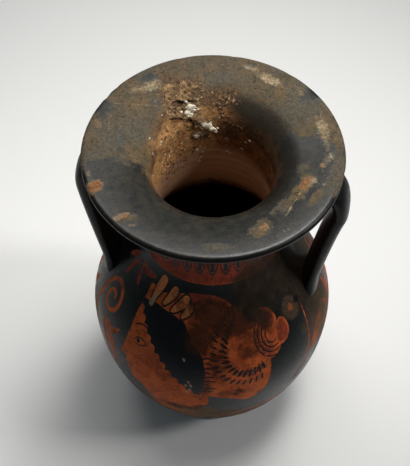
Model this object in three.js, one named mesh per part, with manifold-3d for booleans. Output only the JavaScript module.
// A red-figure pelike: a low-bellied, wide-lipped storage jar of fired clay with two strap handles.
// Millimetres, +Z up. The origin is the middle of the foot's underside. The handles stand along X,
// and the side that carries the main picture faces -Y.

import * as THREE from "three";
import { mergeVertices } from "three/addons/utils/BufferGeometryUtils.js";
import Module from "manifold-3d";

const wasm = await Module();
wasm.setup();

// Heights, stacked from the ground up
const FOOT_HEIGHT = 8.5; // the ring that the jar stands on
const BELLY_RISE = 88.5; // from the top of the foot to the widest part
const SHOULDER_RISE = 94; // from the widest part to the narrowest part of the neck
const NECK_RISE = 59; // from the narrowest part of the neck to the rim

// Outside radii
const FOOT_RADIUS = 50;
const WAIST_RADIUS = 45; // where the belly sits on the foot
const BELLY_RADIUS = 79.7;
const NECK_RADIUS = 41;
const LIP_RADIUS = 76;

// Thicknesses of the clay
const WALL = 5;
const FLOOR = 7;
const LIP_EDGE = 5; // the rounded edge of the lip, from its underside to its top

// The underside of the foot
const RECESS_DEPTH = 4;
const STANDING_WIDTH = 7.5; // the flat ring that touches the ground
const FOOT_ROUND = 3; // how far the rounding of the foot's outside reaches in

// The mouth
const MOUTH_DEPTH = 24; // the height in which the bore of the neck turns out into the flat of the lip
const LIP_ROUND = 3; // how far the rounding of the lip's edge reaches in

// The two handles, pulled and pressed on by hand, so that they differ a little
const HANDLE_WIDTH = 24;
const HANDLE_THICKNESS = 10.5;
const HANDLE_PROUD = 6.1; // how far the outer face stands out beyond the lip
const HANDLE_ROOT_DROP = 22; // from the rim down to the root on the neck
const HANDLE_CROWN_DROP = 9.7; // from the rim down to the line that the upper bend leans on
const HANDLE_FOOT_RISE = 37; // from the widest part up to the root on the shoulder
const LEFT_BOW_DROP = 33; // from the rim down to the place where the left handle stands out most
const RIGHT_BOW_DROP = 39;
const LEFT_DRAW_IN = 2.1; // how much the left handle leans in where it turns down to the shoulder
const RIGHT_DRAW_IN = 5.4;
const DRAW_DROP = 20.5; // from the place that stands out most down to that turn
const LEFT_TURN = 180; // degrees round from +X
const RIGHT_TURN = -4; // a little towards the picture
const ROOT_BITE = 4; // how far each end runs into the wall
const ROOT_FLARE = 0.3; // how much wider the strap is where it is pressed on
const ROOT_REACH = 0.13; // the share of the strap's length in which it widens

// How the curves swing: each value is a share of the curve's own rise or spread
const WAIST_OUT = 0.51; // the slant at which the belly leaves the foot
const WAIST_UP = 0.165;
const BELLY_HOLD = 0.445; // how long the belly stays upright below its widest part
const SHOULDER_HOLD = 0.42; // and above it
const NECK_HOLD_BELOW = 0.385; // how long the neck stays upright below its narrowest part
const NECK_HOLD_ABOVE = 0.57; // and above it
const LIP_TURN_OUT = 0.2; // where the neck turns out under the lip
const LIP_TURN_DROP = 0.06;
const MOUTH_HOLD = 0.71; // how long the bore stays upright where it opens
const MOUTH_TURN_OUT = 0.37; // how far out the top of the lip starts to be level
const CROWN_OUT = 0.4; // how far out a handle's upper bend starts to turn down

// How finely the round forms are divided
const ROUND_SEGMENTS = 56;
const STRAP_SIDES = 16;
const STRAP_STEPS = 18;
const BELLY_STEPS = 10;
const SHOULDER_STEPS = 10;
const NECK_STEPS = 8;
const MOUTH_STEPS = 9;
const EDGE_STEPS = 6;

const bellyZ = FOOT_HEIGHT + BELLY_RISE;
const neckZ = bellyZ + SHOULDER_RISE;
const rimZ = neckZ + NECK_RISE;
const lipUndersideZ = rimZ - LIP_EDGE;
const boreRadius = NECK_RADIUS - WALL;
const lipFlatRadius = LIP_RADIUS - LIP_ROUND;

const mix = THREE.MathUtils.lerp;
const at = (radius, z) => new THREE.Vector2(radius, z);

// A curve in the half plane of the jar's profile: x is the radius and y is the height.
const bend = (...points) => new THREE.CubicBezierCurve(...points);

// From the foot out to the widest part: it leaves the foot at a slant and ends upright.
const bellyCurve = bend(
  at(WAIST_RADIUS, FOOT_HEIGHT),
  at(mix(WAIST_RADIUS, BELLY_RADIUS, WAIST_OUT), FOOT_HEIGHT + WAIST_UP * BELLY_RISE),
  at(BELLY_RADIUS, bellyZ - BELLY_HOLD * BELLY_RISE),
  at(BELLY_RADIUS, bellyZ),
);

// From the widest part in to the neck: upright at both ends, with a long slant between.
const shoulderCurve = bend(
  at(BELLY_RADIUS, bellyZ),
  at(BELLY_RADIUS, bellyZ + SHOULDER_HOLD * SHOULDER_RISE),
  at(NECK_RADIUS, neckZ - NECK_HOLD_BELOW * SHOULDER_RISE),
  at(NECK_RADIUS, neckZ),
);

// From the neck out to the underside of the lip: it ends nearly level.
const neckCurve = bend(
  at(NECK_RADIUS, neckZ),
  at(NECK_RADIUS, neckZ + NECK_HOLD_ABOVE * NECK_RISE),
  at(mix(NECK_RADIUS, LIP_RADIUS, LIP_TURN_OUT), lipUndersideZ - LIP_TURN_DROP * NECK_RISE),
  at(lipFlatRadius, lipUndersideZ),
);

// From the bore of the neck up and out over the top of the lip, like the bell of a trumpet.
const mouthCurve = bend(
  at(boreRadius, rimZ - MOUTH_DEPTH),
  at(boreRadius, rimZ - (1 - MOUTH_HOLD) * MOUTH_DEPTH),
  at(mix(boreRadius, lipFlatRadius, MOUTH_TURN_OUT), rimZ),
  at(lipFlatRadius, rimZ),
);

// Half an oval that bulges outwards from one height up to another, as on the lip and the foot.
function bulge(radius, reach, lowZ, highZ) {
  const middleZ = mix(lowZ, highZ, 0.5);
  const quarter = Math.PI / 2;
  return new THREE.EllipseCurve(radius - reach, middleZ, reach, highZ - middleZ, -quarter, quarter);
}

const lipEdgeCurve = bulge(LIP_RADIUS, LIP_ROUND, lipUndersideZ, rimZ);
const footEdgeCurve = bulge(FOOT_RADIUS, FOOT_ROUND, 0, FOOT_HEIGHT);

// Points of several curves in a row, without the point that two neighbours share.
function along(...runs) {
  const points = [];
  for (const [curve, pieces] of runs) {
    const next = curve.getPoints(pieces);
    points.push(...(points.length ? next.slice(1) : next));
  }
  return points;
}

// A line of points moved towards the axis by the wall, at right angles to the line.
function insideOf(points, wall) {
  return points.map((here, i) => {
    const before = points[Math.max(i - 1, 0)];
    const after = points[Math.min(i + 1, points.length - 1)];
    const way = after.clone().sub(before).normalize();
    return at(here.x - wall * way.y, here.y + wall * way.x);
  });
}

// The radius of the outside at a height between the foot and the lip.
const finely = 40;
const flank = along([bellyCurve, finely], [shoulderCurve, finely], [neckCurve, finely]);
function radiusAt(z) {
  const i = flank.findIndex((p) => p.y >= z);
  const low = flank[i - 1];
  const high = flank[i];
  return mix(low.x, high.x, (z - low.y) / (high.y - low.y));
}

// A closed geometry as a solid that can be joined and cut.
function solidOf(geometry) {
  geometry.deleteAttribute("normal");
  geometry.deleteAttribute("uv");
  const merged = mergeVertices(geometry, 1e-4);
  return new wasm.Manifold(
    new wasm.Mesh({
      numProp: 3,
      vertProperties: merged.attributes.position.array,
      triVerts: new Uint32Array(merged.index.array),
    }),
  );
}

// A solid turned on the jar's axis, from a profile that starts and ends on the axis.
function turned(profile) {
  const geometry = new THREE.LatheGeometry(profile, ROUND_SEGMENTS);
  return solidOf(geometry.rotateX(Math.PI / 2));
}

// The whole jar as if it were full: its outside, closed across the rim.
function fullJar() {
  const standingInner = FOOT_RADIUS - FOOT_ROUND - STANDING_WIDTH;
  return turned([
    at(0, RECESS_DEPTH),
    at(standingInner - RECESS_DEPTH, RECESS_DEPTH),
    at(standingInner, 0),
    ...footEdgeCurve.getPoints(EDGE_STEPS),
    ...along(
      [bellyCurve, BELLY_STEPS],
      [shoulderCurve, SHOULDER_STEPS],
      [neckCurve, NECK_STEPS],
      [lipEdgeCurve, EDGE_STEPS],
    ),
    at(0, rimZ),
  ]);
}

// What the jar can hold, with the dished top of the lip: it is cut out of the full jar.
function hollow() {
  const floorZ = RECESS_DEPTH + FLOOR;
  const outsideLine = along([bellyCurve, BELLY_STEPS], [shoulderCurve, SHOULDER_STEPS]);
  const aboveFloor = insideOf(outsideLine, WALL).filter((p) => p.y > floorZ + 1);
  const clearance = 20; // above the rim, so that the cut leaves no skin
  return turned([
    at(0, floorZ),
    at(aboveFloor[0].x - WALL, floorZ),
    ...aboveFloor,
    ...mouthCurve.getPoints(MOUTH_STEPS),
    at(lipFlatRadius, rimZ + clearance),
    at(0, rimZ + clearance),
  ]);
}

// The line that the middle of a handle follows, from the neck over to the shoulder.
function handleLine(bowDrop, drawIn) {
  const rootZ = rimZ - HANDLE_ROOT_DROP;
  const crownZ = rimZ - HANDLE_CROWN_DROP;
  const bowZ = rimZ - bowDrop;
  const footZ = bellyZ + HANDLE_FOOT_RISE;
  const bowRadius = LIP_RADIUS + HANDLE_PROUD - HANDLE_THICKNESS / 2;
  const rootRadius = radiusAt(rootZ) - ROOT_BITE;
  const footRadius = radiusAt(footZ) - ROOT_BITE;
  const inPlane = (radius, z) => new THREE.Vector3(radius, 0, z);
  const line = new THREE.CurvePath();
  line.add(
    new THREE.CubicBezierCurve3(
      inPlane(rootRadius, rootZ),
      inPlane(mix(rootRadius, bowRadius, CROWN_OUT), crownZ),
      inPlane(bowRadius + 1, crownZ),
      inPlane(bowRadius, bowZ),
    ),
  );
  line.add(
    new THREE.QuadraticBezierCurve3(
      inPlane(bowRadius, bowZ),
      inPlane(bowRadius - drawIn, bowZ - DRAW_DROP),
      inPlane(footRadius, footZ),
    ),
  );
  return line;
}

// Makes a circle's coordinate fuller, so that an oval has flatter faces and rounder edges.
const fuller = (value) => Math.sign(value) * Math.abs(value) ** 0.8;

// A strap with an oval section that runs in the plane y = 0 and widens at both ends.
function strap(line) {
  const positions = [];
  for (let step = 0; step <= STRAP_STEPS; step++) {
    const share = step / STRAP_STEPS;
    const middle = line.getPointAt(share);
    const way = line.getTangentAt(share);
    const fromEnd = Math.min(share, 1 - share) / ROOT_REACH;
    const widening = 1 + ROOT_FLARE * Math.max(0, 1 - fromEnd) ** 2;
    for (let side = 0; side < STRAP_SIDES; side++) {
      const turn = (2 * Math.PI * side) / STRAP_SIDES;
      const across = 0.5 * widening * HANDLE_WIDTH * fuller(Math.cos(turn));
      const out = 0.5 * widening * HANDLE_THICKNESS * fuller(Math.sin(turn));
      positions.push(middle.x - out * way.z, across, middle.z + out * way.x);
    }
  }
  const index = [];
  for (let step = 0; step < STRAP_STEPS; step++) {
    for (let side = 0; side < STRAP_SIDES; side++) {
      const beside = (side + 1) % STRAP_SIDES;
      const a = step * STRAP_SIDES + side;
      const b = step * STRAP_SIDES + beside;
      index.push(a, b, b + STRAP_SIDES, a, b + STRAP_SIDES, a + STRAP_SIDES);
    }
  }
  const last = STRAP_STEPS * STRAP_SIDES;
  for (let side = 1; side < STRAP_SIDES - 1; side++) {
    index.push(0, side + 1, side, last, last + side, last + side + 1);
  }
  const geometry = new THREE.BufferGeometry();
  geometry.setAttribute("position", new THREE.Float32BufferAttribute(positions, 3));
  return geometry.setIndex(index);
}

// A handle in its place round the jar.
function handle(bowDrop, drawIn, turn) {
  const made = strap(handleLine(bowDrop, drawIn));
  return solidOf(made.rotateZ(THREE.MathUtils.degToRad(turn)));
}

// The jar with its handles, emptied: one piece of fired clay.
function pelike() {
  const left = handle(LEFT_BOW_DROP, LEFT_DRAW_IN, LEFT_TURN);
  const right = handle(RIGHT_BOW_DROP, RIGHT_DRAW_IN, RIGHT_TURN);
  const clay = fullJar().add(left).add(right).subtract(hollow());
  const made = clay.getMesh();
  const geometry = new THREE.BufferGeometry();
  geometry.setAttribute("position", new THREE.BufferAttribute(made.vertProperties, 3));
  geometry.setIndex(new THREE.BufferAttribute(made.triVerts, 1));
  geometry.computeVertexNormals();
  const glaze = new THREE.MeshStandardMaterial({ color: 0x25282b, roughness: 0.4, metalness: 0 });
  const mesh = new THREE.Mesh(geometry, glaze);
  mesh.name = "pelike";
  return mesh;
}

const object = new THREE.Group();
object.add(pelike());

export default object;
